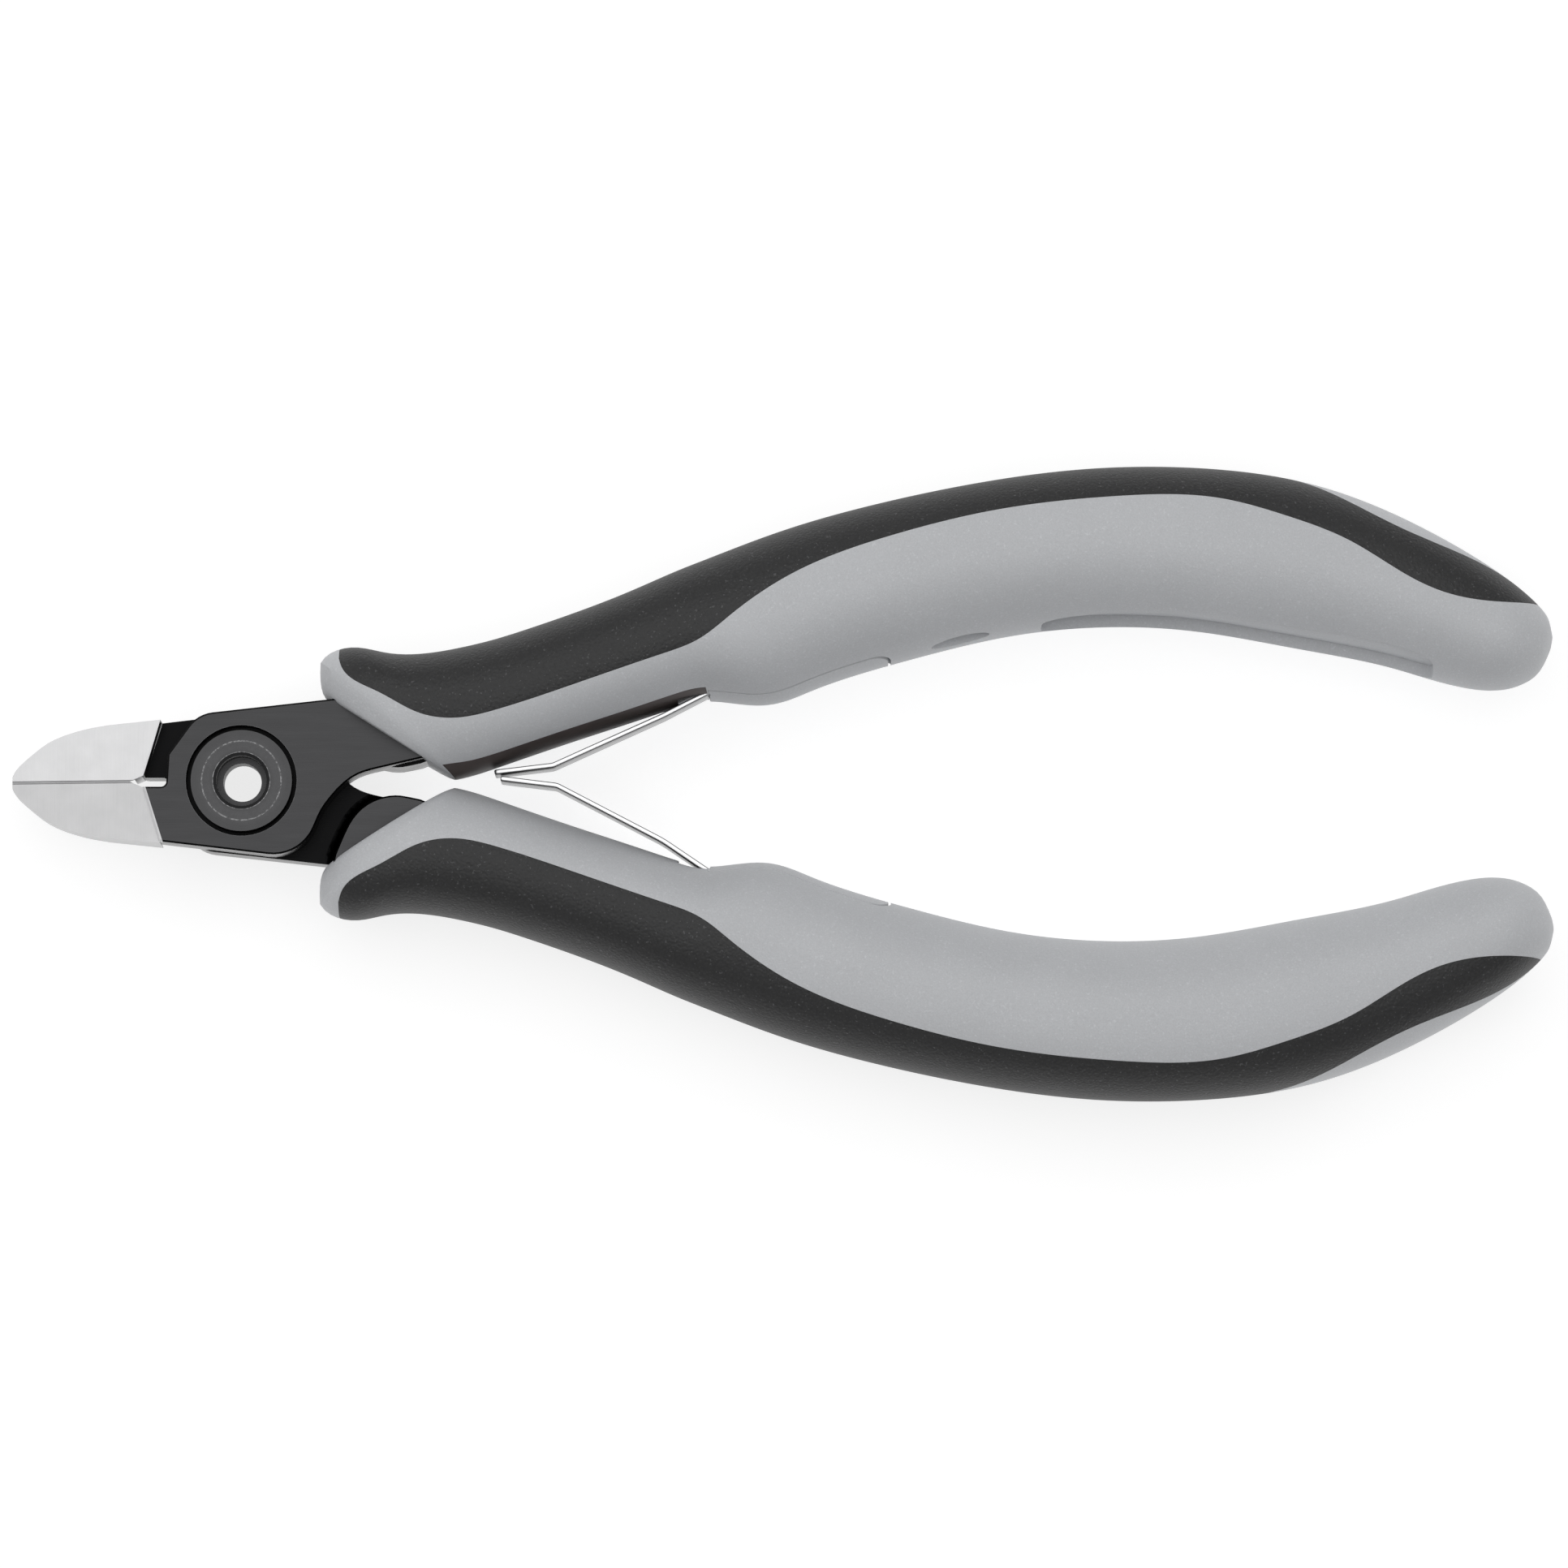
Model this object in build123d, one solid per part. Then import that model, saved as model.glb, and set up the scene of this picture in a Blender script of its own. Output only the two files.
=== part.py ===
from build123d import *
import os

# A hand-held flush cutter. Millimetres. The origin is the middle of the pivot,
# +X runs to the handle ends, the jaws point to -X, and +Z is the front face.
# The lower side of the tool is the upper side turned half a turn about X.

# ---- joint ----
joint_thickness = 8.0
lap_clearance = 0.02          # between the two halves where they lie on each other
half_joint = joint_thickness / 2
lap_z = lap_clearance / 2
plate_edge_break = 0.15       # chamfer round the faces of a plate

bolt_diameter = 6.4
bolt_bore_diameter = 3.12
bolt_mouth_diameter = 4.1
bolt_mouth_depth = 2.4        # at each end, down to the short web in the middle
bolt_mouth_flare = 4.6
flange_diameter = 8.2
flange_thickness = 2.4
flange_recess = 0.08          # how far the nut and the flange stand below the plates
counterbore_diameter = 9.0
seat_z = half_joint - flange_recess - flange_thickness  # floor of a counterbore
running_clearance = 0.03      # radial, on the bolt
thread_clearance = 0.01       # radial, between the bolt and the ring nut

# ---- plate of one half, seen from its own face ----
plate_left = -6.1             # round end of the plate, beside the other jaw
plate_top = 5.6               # height at which the straight back of the plate starts
back_slope = 0.112            # rise of the straight back for each millimetre of X
crown_radius = 2.8
shoulder_radius = 0.4
heel_corner = (4.86, -6.29)   # corner of the plate opposite its back, before rounding
heel_radius = 3.6
plate_lap = 2.75              # how far the plate runs past the start of the tang, in the grip
block_inset = 1.0             # how much shorter the full thickness is
throat_slope = 0.3226         # rise of the plate's lower edge into the grip, for each millimetre of X
block_slope = 0.395           # the same for the full thickness
relief_depth = 0.5            # clearance behind the cutting edges
relief_start = -9.1
relief_radius = 0.45
cove_radius = 0.9             # foot of the wall between the lap face and the full thickness

# ---- jaws ----
jaw_length = 18.7             # pivot to tip
jaw_root_height = 5.0
jaw_tip_height = 0.45
jaw_root_x = -7.5
jaw_root_z = 3.0              # half the thickness of the pair at the root
jaw_tip_z = 1.0               # half the thickness of the pair at the tip
edge_clearance = 0.01         # each edge to the cutting plane
edge_bevel = 0.12
edge_land = 0.1
hollow_slope = 0.44           # how fast the hollow behind the edge opens

# ---- grips ----
handle_reach = 106.4          # pivot to the end of a grip
grip_reach = 25.85            # centre line to the outermost point of a grip
grip_half_thickness = 7.5
section_roundness = 0.8       # corner radius of a section, as a share of its smaller half side
skin_inner = 2.2              # wall between the core and the inner face
skin_outer = 2.6              # wall between the core and the outer face
skin_side = 2.3
core_first, core_last = 3, 18  # stations between which the core runs
tang_width = 4.4
tang_offset = 0.3             # from the middle of the grip towards its inner face
tang_thickness = 5.4
tang_last = 15                # station at which the tang ends

# ---- strip, springs and their retainers ----
spring_thickness = 0.4
spring_width = 4.5
spring_tip_past = 3.2         # each leaf's tip past the inner corner of its grip
spring_tip_gap = 0.1          # each leaf's tip to the centre line
spring_clearance = 0.25
spring_root_inset = 0.4       # root of the leaf past the front of the retainer
spring_root_depth = 0.85      # root of the leaf behind the inner face
spring_flat = 4.8             # flat end of the leaf, from its tip to the kink
spring_flat_rise = 0.55       # how far the kink stands off the centre line above the tip
spring_sag = 0.2              # bow of the leaf between the kink and its root
spring_bend_radii = [14, 1.2]  # at the middle of the bow and at the kink
pocket_length = 4.4
retainer_first, retainer_last = 8, 11
retainer_cut = 1.7            # how far the retainer stops short of its last station
retainer_depth = 1.9
retainer_rim = 0.65           # retainer beyond each side of the leaf
retainer_half_width = spring_width / 2 + retainer_rim
strip_first, strip_last = 2, 7
strip_half_width = retainer_half_width + 0.3
slots = [(3.6, 4.4, 1.4), (12.2, 32.0, 2.5)]  # past the retainer, length and half width of each recess
slot_depth = 1.2

# Stations of a grip: inner edge (along, across), outer edge (along, across), thickness.
# Along is a share of handle_reach, across of grip_reach, thickness of grip_half_thickness.
stations = [
    ((0.1588, 0.019), (0.0611, 0.282), 0.75),
    ((0.1617, 0.014), (0.0620, 0.379), 0.84),
    ((0.1654, 0.015), (0.0780, 0.426), 0.87),
    ((0.1748, 0.025), (0.1081, 0.412), 0.89),
    ((0.1974, 0.056), (0.1645, 0.426), 0.92),
    ((0.2481, 0.128), (0.2115, 0.478), 0.93),
    ((0.2961, 0.193), (0.2585, 0.545), 0.95),
    ((0.3336, 0.244), (0.2989, 0.611), 0.96),
    ((0.3571, 0.261), (0.3271, 0.662), 0.97),
    ((0.3929, 0.248), (0.3524, 0.704), 0.99),
    ((0.4342, 0.294), (0.3966, 0.774), 1.0),
    ((0.5085, 0.391), (0.4709, 0.867), 1.0),
    ((0.5827, 0.464), (0.5545, 0.942), 1.0),
    ((0.6570, 0.495), (0.6485, 0.992), 1.0),
    ((0.7312, 0.480), (0.7425, 0.990), 1.0),
    ((0.8055, 0.427), (0.8271, 0.930), 0.99),
    ((0.8797, 0.364), (0.9117, 0.781), 0.95),
    ((0.9305, 0.306), (0.9633, 0.650), 0.88),
    ((0.9586, 0.296), (0.9831, 0.584), 0.80),
    ((0.9803, 0.321), (0.9944, 0.534), 0.61),
    ((0.9925, 0.368), (0.9981, 0.499), 0.39),
    ((0.9981, 0.418), (1.0000, 0.464), 0.16),
]

# Edge of the soft pad on the front face, from the nose to the tail.
pad_edge = [
    (0.0742, 0.383), (0.0770, 0.350), (0.1043, 0.273), (0.1362, 0.205), (0.1650, 0.190),
    (0.1936, 0.214), (0.2481, 0.287), (0.3224, 0.392), (0.3477, 0.434), (0.3722, 0.510),
    (0.4220, 0.647), (0.4962, 0.763), (0.5705, 0.839), (0.6692, 0.886), (0.7444, 0.879),
    (0.7932, 0.825), (0.8430, 0.744), (0.8929, 0.621), (0.9173, 0.580), (0.9671, 0.555),
    (0.9868, 0.557),
]
pad_thickness = 1.2
window_first, window_last = 0.80, 0.985  # where the shell shows through the pad's back
window_sag = 0.6              # how far the window's edge bows


def grip_xy(share):
    """A point of the plan, from its shares of the two reaches."""
    return Vector(share[0] * handle_reach, share[1] * grip_reach)


def station_line(index):
    """Inner point, outward direction, width and half thickness of a grip station."""
    inner, outer, thick = stations[index]
    start, end = grip_xy(inner), grip_xy(outer)
    return start, (end - start).normalized(), (end - start).length, thick * grip_half_thickness


def station_point(index, depth):
    """A point of the plan on a station, this deep behind the inner edge."""
    start, outward, _, _ = station_line(index)
    return start + outward * depth


def section_face(index, inner=0.0, outer=0.0, side=0.0):
    """Rounded section of the grip at a station, with this much taken off its sides."""
    start, outward, width, half = station_line(index)
    wide, high = width - inner - outer, 2 * (half - side)
    radius = section_roundness * min(wide, high) / 2
    middle = start + outward * (inner + wide / 2)
    place = Plane(origin=middle, x_dir=outward, z_dir=outward.cross(Vector(0, 0, -1)))
    return place * RectangleRounded(wide, high, radius)


def grip_body():
    return loft([section_face(i).face() for i in range(len(stations))])


def core_body():
    walls = dict(inner=skin_inner, outer=skin_outer, side=skin_side)
    faces = [section_face(i, **walls).face() for i in range(core_first, core_last + 1)]
    return loft(faces)


def prism(outline, low, high):
    """A plan outline, a wire or a list of edges, raised from low to high."""
    face = make_face(outline)
    return extrude(Plane.XY.offset(low) * face, amount=high - low)


def band(first, last, near, far, half_width):
    """A block along the grip between two stations, between two depths from the inner face."""
    span = range(first, last + 1)
    inner = Spline(*[station_point(i, near) for i in span])
    outer = Spline(*[station_point(i, far) for i in span])
    ends = [Line(inner @ 0, outer @ 0), Line(inner @ 1, outer @ 1)]
    return prism([inner, outer, *ends], -half_width, half_width)


# ---- steel ----
def plate_hidden_x():
    """Where the plate ends, inside the grip."""
    first = core_first + 1
    return station_point(first, station_line(first)[2] / 2).X + plate_lap


def back_line_y(x):
    """Height of the plate's straight back."""
    return plate_top + back_slope * (x + 1.8)


def rising(start, slope, x):
    """Point at this X on the line that leaves the start with this slope."""
    return x, start[1] + slope * (x - start[0])


def plate_outline():
    """Outline of one half's plate, from its round end to where the grip hides it."""
    root_high, root_low = (-7.99, -relief_depth), (-6.66, 0.07 - jaw_root_height)
    crown_start = (plate_left, -relief_depth)
    crown_corner = (-3.57, back_line_y(-3.57))
    end_x = plate_hidden_x()
    back_end = (end_x, back_line_y(end_x))
    crown = FilletPolyline(root_high, crown_start, (plate_left + 0.15, 2.13), crown_corner, back_end,
                           radius=[relief_radius, shoulder_radius, crown_radius])
    heel_end = (6.3, -2.9)
    heel = FilletPolyline(root_low, heel_corner, heel_end, radius=heel_radius)
    neck = (14.56, 1.8)
    throat_end = rising(neck, throat_slope, end_x)
    throat = Spline(heel_end, (7.17, -1.52), (9.19, 0.36), (11.3, 1.05), neck, throat_end,
                    tangents=[heel % 1, (1, 0.35)])
    return [
        crown, heel, throat,
        Line(back_end, throat_end),
        Line(root_low, root_high),
    ]


def block_outline():
    """Outline of the full thickness behind the joint, which the other half's plate clears."""
    start, end = (7.45, back_line_y(7.45)), (14.5, 1.53)
    end_x = plate_hidden_x() - block_inset
    far_low, far_high = rising(end, block_slope, end_x), (end_x, back_line_y(end_x))
    return [
        Spline(start, (7.88, 5.25), (9.03, 2.96), (11.02, 1.46), (12.6, 1.2), end,
               tangents=[(0.1, -1), (1, 0.2)]),
        Line(end, far_low),
        Line(far_low, far_high),
        Line(far_high, start),
    ]


def tang_body():
    """Bar that carries the grip, along the middle of the stations."""
    span = range(core_first + 1, tang_last + 1)
    middles = [station_point(i, station_line(i)[2] / 2 - tang_offset) for i in span]
    half = tang_width / 2
    taper = [half * (1 - 0.35 * k / (len(middles) - 1)) for k in range(len(middles))]
    lines = [station_line(i)[1] for i in span]
    low = Spline(*[m - d * t for m, d, t in zip(middles, lines, taper)])
    high = Spline(*[m + d * t for m, d, t in zip(middles, lines, taper)])
    ends = [Line(low @ 0, high @ 0), Line(low @ 1, high @ 1)]
    return prism([low, high, *ends], -tang_thickness / 2, tang_thickness / 2)


def jaw_face_z(x):
    """Height of the ground front face of the jaws."""
    slope = (jaw_root_z - jaw_tip_z) / (jaw_length + jaw_root_x)
    return jaw_tip_z + slope * (x + jaw_length)


def jaw_outline():
    """Plan of the lower jaw, up to its root wall."""
    tip = (-jaw_length, -jaw_tip_height)
    root = (-6.6, -jaw_root_height)
    belly = Spline(tip, (-17.5, -1.9), (-15.8, -3.2), (-13.1, -4.2), root,
                   tangents=[(0.35, -1), (1, -0.1)])
    return [
        Line((-jaw_length, -edge_clearance), tip),
        belly,
        Line(root, (-7.95, -relief_depth)),
        Line((-7.95, -relief_depth), (relief_start, -edge_clearance)),
        Line((relief_start, -edge_clearance), (-jaw_length, -edge_clearance)),
    ]


def jaw_hollow():
    """What is ground away behind the cutting edge and in the tiny bevel before it."""
    faces = []
    for x in (-jaw_length - 2, jaw_root_x - 1.2):
        front, back = jaw_face_z(x), -jaw_face_z(x) - 1
        edge = front - edge_bevel
        foot = edge - edge_land
        reach = hollow_slope * (foot - back)
        points = [
            (x, 1.0, front + 1), (x, -edge_clearance - edge_bevel - 1, front + 1),
            (x, -edge_clearance - edge_bevel, front), (x, -edge_clearance, edge),
            (x, -edge_clearance, foot), (x, -edge_clearance - reach, back), (x, 1.0, back),
        ]
        faces.append(Face(Wire.make_polygon([Vector(*p) for p in points])))
    return loft(faces, ruled=True)


def jaw_body():
    """Lower jaw: tapers in thickness to the tip, with its edge near the front face."""
    jaw = prism(jaw_outline(), -half_joint, half_joint)
    near, far = -5.0, -jaw_length - 1
    side = Polyline((near, 0, jaw_face_z(near)), (far, 0, jaw_face_z(far)),
                    (far, 0, -jaw_face_z(far)), (near, 0, -jaw_face_z(near)), close=True)
    wedge = extrude(make_face(side), amount=20, dir=(0, -1, 0), both=True)
    return jaw & (wedge - jaw_hollow())


def at_height(shape, z):
    """Edges of a shape that lie at this height."""
    return shape.edges().filter_by_position(Axis.Z, z - 1e-4, z + 1e-4)


def steel_base():
    """Plate, full-thickness block and tang of one half, with its bore and counterbore."""
    plate = prism(plate_outline(), lap_z, half_joint)
    plate = plate.chamfer(plate_edge_break, None, at_height(plate, half_joint))
    wall = block_outline()
    block = prism(wall, -half_joint, half_joint / 2)
    block = block.chamfer(plate_edge_break, None, at_height(block, -half_joint))
    half = plate + block
    on_wall = Vertex(*(wall[0] @ 0.4 + Vector(0, 0, lap_z)))
    foot = [edge for edge in at_height(half, lap_z) if edge.distance_to(on_wall) < lap_z]
    half = half.fillet(cove_radius, foot) + tang_body()
    bore = Cylinder(bolt_diameter / 2 + running_clearance, 4 * joint_thickness)
    pocket = Pos(0, 0, seat_z + half_joint) * Cylinder(counterbore_diameter / 2, 2 * half_joint)
    return half - bore - pocket


def turned(solid):
    """The same solid on the other side of the tool: half a turn about X."""
    return solid.rotate(Axis.X, 180)


def pivot_bolt():
    """Hollow bolt: flange at the back, shank through both halves and the nut."""
    end = half_joint - flange_recess
    shank = Cylinder(bolt_diameter / 2, 2 * end)
    flange_top = -seat_z - lap_clearance
    thick = end + flange_top
    flange = Pos(0, 0, -end + thick / 2) * Cylinder(flange_diameter / 2, thick)
    bolt = shank + flange - Cylinder(bolt_bore_diameter / 2, 4 * end)
    for side in (1, -1):
        mouth = Cylinder(bolt_mouth_diameter / 2, bolt_mouth_depth)
        flare_height = (bolt_mouth_flare - bolt_mouth_diameter) / 2
        flare = Cone(bolt_mouth_diameter / 2, bolt_mouth_flare / 2, flare_height)
        mouth = Pos(0, 0, end - bolt_mouth_depth / 2) * mouth
        mouth += Pos(0, 0, end - flare_height / 2) * flare
        bolt -= mouth if side == 1 else turned(mouth)
    return bolt


def pivot_nut():
    """Ring nut, flush in the front counterbore."""
    height = flange_thickness
    ring = Cylinder(flange_diameter / 2, height)
    ring -= Cylinder(bolt_diameter / 2 + thread_clearance, 2 * height)
    return Pos(0, 0, seat_z + height / 2) * ring


# ---- springs ----
def leaf_line():
    """Middle line of the upper leaf, from its root in the grip to its tip."""
    root_x = station_point(retainer_first, 0).X + spring_root_inset
    root = inner_face_point(root_x) + Vector(0, spring_root_depth)
    corner = grip_xy(stations[strip_first][0])
    tip = Vector(corner.X + spring_tip_past, spring_tip_gap + spring_thickness / 2)
    kink = tip + Vector(spring_flat, spring_flat_rise)
    middle = kink + (root - kink) * 0.65 - Vector(0, spring_sag)
    return FilletPolyline(root, middle, kink, tip, radius=spring_bend_radii)


def leaf_spring():
    """Flat leaf of even thickness along its middle line."""
    middle, half = leaf_line(), spring_thickness / 2
    under = middle.offset_2d(half, side=Side.LEFT, closed=False)
    over = middle.offset_2d(half, side=Side.RIGHT, closed=False)
    ends = [Line(under @ 0, over @ 1), Line(under @ 1, over @ 0)]
    return prism([*under.edges(), *over.edges(), *ends], -spring_width / 2, spring_width / 2)


def spring_pocket():
    """Room in the grip for the root of the leaf."""
    line = leaf_line()
    root, along = line @ 0, (line % 0)
    place = Plane(origin=root + along * (pocket_length / 2 - 0.6), x_dir=along, z_dir=(0, 0, 1))
    return place * Box(pocket_length, spring_thickness + 2 * spring_clearance,
                       spring_width + 2 * spring_clearance)


# ---- grip pieces ----
def inner_face_point(x):
    """Point of the grip's inner edge at this distance along the tool."""
    edge = Spline(*[station_point(i, 0) for i in range(len(stations))])
    cut = Line((x, -50), (x, 50))
    return sorted(edge.intersect(cut).vertices(), key=lambda v: v.Y)[0].center()


def retainer_end_x():
    """Where the retainer ends along the grip."""
    return station_point(retainer_last, 0).X - retainer_cut


def slot_cut(past_retainer, length, half_width):
    """Lens-shaped recess in the inner face."""
    start = retainer_end_x() + past_retainer
    middle, end = start + length / 2, start + length
    with_arcs = [ThreePointArc((start, 0), (middle, half_width), (end, 0)),
                 ThreePointArc((start, 0), (middle, -half_width), (end, 0))]
    lens = extrude(Plane.XZ * make_face(with_arcs), amount=-grip_reach)
    return lens & band(9, 18, -3, slot_depth, half_width + 1)


def pad_region():
    """Everything outside the pad's edge in plan."""
    edge = Spline(*[grip_xy(p) for p in pad_edge])
    far = 2 * grip_reach
    start, end = edge @ 0, edge @ 1
    around = Polyline(end, (handle_reach * 1.1, end.Y), (handle_reach * 1.1, far),
                      (-10, far), (-10, grip_reach * 0.44), (start.X, grip_reach * 0.44), start)
    return prism([edge, around], -2 * grip_half_thickness, 2 * grip_half_thickness)


def window_region():
    """Lens on the back of the pad where the shell shows."""
    edge = Spline(*[station_point(i, station_line(i)[2]) for i in range(len(stations))])
    start, end = edge_at(edge, window_first), edge_at(edge, window_last)
    middle = (start + end) / 2
    chord = (end - start).normalized()
    inward = chord.cross(Vector(0, 0, 1))
    sag = [ThreePointArc(start, middle + inward * window_sag, end),
           Polyline(start, start - inward * 9, end - inward * 9, end)]
    return prism(sag, -2 * grip_half_thickness, 2 * grip_half_thickness)


def edge_at(edge, share):
    """Point of a plan curve at a share of the handle's reach."""
    x = share * handle_reach
    cut = Line((x, -50), (x, 50))
    return sorted(edge.intersect(cut).vertices(), key=lambda v: v.Y)[-1].center()


def grip_pieces(steel):
    """Core, retainer, shell and pad of the upper grip, round the given steel."""
    whole = grip_body()
    pocket = spring_pocket()
    strip = whole & band(strip_first, strip_last, -2, skin_inner + 0.5, strip_half_width)
    core = core_body() + strip - steel - pocket
    retainer = whole & band(retainer_first, retainer_last, -2, retainer_depth, retainer_half_width)
    before_end = Pos(retainer_end_x() - 50, 0, 0) * Box(100, 100, 100)
    retainer = (retainer & before_end) - pocket
    skin = [section_face(i, inner=-1, outer=pad_thickness, side=pad_thickness).face()
            for i in range(1, len(stations) - 2)]
    pad = (whole & pad_region()) - loft(skin) - window_region()
    shell = whole - pad - core - retainer - steel - pocket
    for slot in slots:
        shell -= slot_cut(*slot)
    return dict(core=core, spring_retainer=retainer, shell=shell, pad=pad)


jaw = jaw_body()
base = steel_base()
parts = {
    "front_half": base + jaw,
    "back_half": turned(base) + mirror(jaw, about=Plane.XZ),
    "pivot_bolt": pivot_bolt(),
    "pivot_nut": pivot_nut(),
}
upper = grip_pieces(base)
upper["leaf_spring"] = leaf_spring()
for piece, solid in upper.items():
    parts[f"upper_{piece}"] = solid
    parts[f"lower_{piece}"] = turned(solid)

os.makedirs("parts", exist_ok=True)
for name, solid in parts.items():
    export_step(solid, f"parts/{name}.step")
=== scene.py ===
from math import cos, pi, radians, sin, tan

import bmesh
import bpy
import numpy as np
from bpy.props import FloatProperty, FloatVectorProperty, IntProperty, PointerProperty
from mathutils import Matrix, Vector


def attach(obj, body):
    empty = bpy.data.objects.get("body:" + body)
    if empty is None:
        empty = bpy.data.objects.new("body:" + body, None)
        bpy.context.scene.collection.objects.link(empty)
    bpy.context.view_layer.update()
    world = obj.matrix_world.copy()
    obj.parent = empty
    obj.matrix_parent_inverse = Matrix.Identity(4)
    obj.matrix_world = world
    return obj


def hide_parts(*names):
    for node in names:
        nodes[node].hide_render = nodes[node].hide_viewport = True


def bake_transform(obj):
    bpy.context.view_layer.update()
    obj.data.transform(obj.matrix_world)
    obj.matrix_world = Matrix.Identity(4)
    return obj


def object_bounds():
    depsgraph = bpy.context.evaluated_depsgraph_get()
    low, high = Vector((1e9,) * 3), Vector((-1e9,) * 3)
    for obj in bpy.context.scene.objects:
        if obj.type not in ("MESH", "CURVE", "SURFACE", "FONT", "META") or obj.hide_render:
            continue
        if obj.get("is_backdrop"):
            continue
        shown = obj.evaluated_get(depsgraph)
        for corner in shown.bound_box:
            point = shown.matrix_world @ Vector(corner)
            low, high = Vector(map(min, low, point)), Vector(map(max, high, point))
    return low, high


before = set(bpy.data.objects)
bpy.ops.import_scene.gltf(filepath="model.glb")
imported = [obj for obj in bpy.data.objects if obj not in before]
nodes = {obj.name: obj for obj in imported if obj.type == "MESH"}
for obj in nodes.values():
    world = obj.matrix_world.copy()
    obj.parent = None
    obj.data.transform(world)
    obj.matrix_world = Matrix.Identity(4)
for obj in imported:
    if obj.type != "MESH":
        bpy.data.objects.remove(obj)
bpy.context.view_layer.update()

bl_info = {
    "name": "Flush Cutter",
    "version": (1, 0, 0),
    "blender": (4, 5, 0),
    "location": "3D View > Sidebar > Cutter",
    "description": "Builds the looks of a spring-opened flush cutter on its CAD frame",
    "category": "Object",
}

MM = 0.001
HALF_TURN = Matrix.Rotation(pi, 4, "X")  # the lower side is the upper side turned about X

# Stations of a grip: inner edge (along, across), outer edge (along, across), thickness,
# as shares of the handle's reach, the grip's reach and its half thickness.
STATIONS = np.array([
    (0.1588, 0.019, 0.0575, 0.282, 0.75), (0.1617, 0.014, 0.0590, 0.379, 0.84),
    (0.1654, 0.015, 0.0780, 0.426, 0.87), (0.1748, 0.025, 0.1081, 0.412, 0.89),
    (0.1974, 0.056, 0.1645, 0.426, 0.92), (0.2481, 0.128, 0.2115, 0.478, 0.93),
    (0.2961, 0.193, 0.2585, 0.545, 0.95), (0.3336, 0.244, 0.2989, 0.611, 0.96),
    (0.3571, 0.261, 0.3271, 0.662, 0.97), (0.3929, 0.248, 0.3524, 0.704, 0.99),
    (0.4342, 0.294, 0.3966, 0.774, 1.00), (0.5085, 0.391, 0.4709, 0.867, 1.00),
    (0.5827, 0.464, 0.5545, 0.942, 1.00), (0.6570, 0.495, 0.6485, 0.992, 1.00),
    (0.7312, 0.480, 0.7425, 0.990, 1.00), (0.8055, 0.427, 0.8271, 0.930, 0.99),
    (0.8797, 0.364, 0.9117, 0.781, 0.95), (0.9305, 0.306, 0.9633, 0.650, 0.88),
    (0.9586, 0.296, 0.9831, 0.584, 0.80), (0.9803, 0.321, 0.9944, 0.534, 0.61),
    (0.9925, 0.368, 0.9981, 0.499, 0.39), (0.9981, 0.418, 1.0000, 0.464, 0.16),
])
LAST_STATION = len(STATIONS) - 1

# Edge of the soft pad on the front face, from the nose to the tail.
PAD_EDGE = np.array([
    (0.0742, 0.383), (0.0770, 0.350), (0.1043, 0.273), (0.1362, 0.205), (0.1650, 0.190),
    (0.1936, 0.214), (0.2481, 0.287), (0.3224, 0.392), (0.3477, 0.434), (0.3722, 0.510),
    (0.4220, 0.647), (0.4962, 0.763), (0.5705, 0.839), (0.6692, 0.886), (0.7444, 0.879),
    (0.7932, 0.825), (0.8430, 0.744), (0.8929, 0.621), (0.9173, 0.580), (0.9671, 0.555),
    (0.9868, 0.557),
])

# The slanted line across the root of a jaw, and where the jaw's face ends in front of it.
ROOT_SLOPE = 0.3194
ROOT_REACH = 7.84 * MM
ROOT_FACE = 0.3 * MM

# Stations where the core and the body under the pad begin and end, and where the fullness
# of the inner side is given.
CORE_STATIONS = (3, 18)
SKIN_STATIONS = (0.6, LAST_STATION - 1.4)
POWER_STATIONS = (0, 8, 12, 18, LAST_STATION)

# Ends of the window in the pad's back, along X.
WINDOW_ENDS = (83.3 * MM, 105.6 * MM)

# The tab that holds a leaf: ends along X, half width, corner rounding, depth and stations.
TAB_ENDS = (36.0 * MM, 52.4 * MM)
TAB_HALF_WIDTH = 3.2 * MM
TAB_ROUND = 1.6 * MM
TAB_DEPTH = 1.9 * MM
TAB_STATIONS = (8, 11.4)

# The dark strip: its stations, its depth, and how far it stands aside in Z.
STRIP_STATIONS = (1.2, 7.95)
STRIP_DEPTH = 2.2 * MM
STRIP_ASIDE = 1.35 * MM

# Half the width of the leaf's mouth and of the dark strip.
SLOT_HALF_WIDTH = 2.55 * MM

# How far a cutting block stands out of the face that it cuts.
OUT = 2 * MM

# Corners of the mouth in millimetres: how far past the leaf's root, and how far across it.
MOUTH_CORNERS = ((-3.2, -0.26), (1.2, -0.26), (1.2, 0.3), (-3.2, 0.8))

# Corners of a leaf's middle line in millimetres, and how much of the lean each takes.
LEAF_CORNERS = (
    ((38.4, 7.61), (0.0, 0.0)),     # root
    ((34.2, 5.1), (0.0, 0.6)),      # bow
    ((25.4, 0.82), (-0.3, 1.0)),    # kink
    ((20.7, 0.25), (-0.45, 1.0)),   # tip
)

# Recesses in a grip's inner side, in millimetres: start and end along the grip, lower edge,
# upper edge at the start and at the end, and depth. The last number is how square they are.
RECESSES = (
    (55.9, 60.6, 1.35, 3.1, 3.2, 0.8, 2),
    (64.8, 96.6, -0.5, 3.4, 5.0, 1.0, 6),
)

# Bright rings painted on the turned faces as highlights: radius and width in millimetres, and
# brightness.
BOLT_RINGS = ((3.2, 0.045, 0.7), (2.32, 0.04, 0.6))
NUT_RINGS = ((3.24, 0.04, 0.5),)

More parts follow.
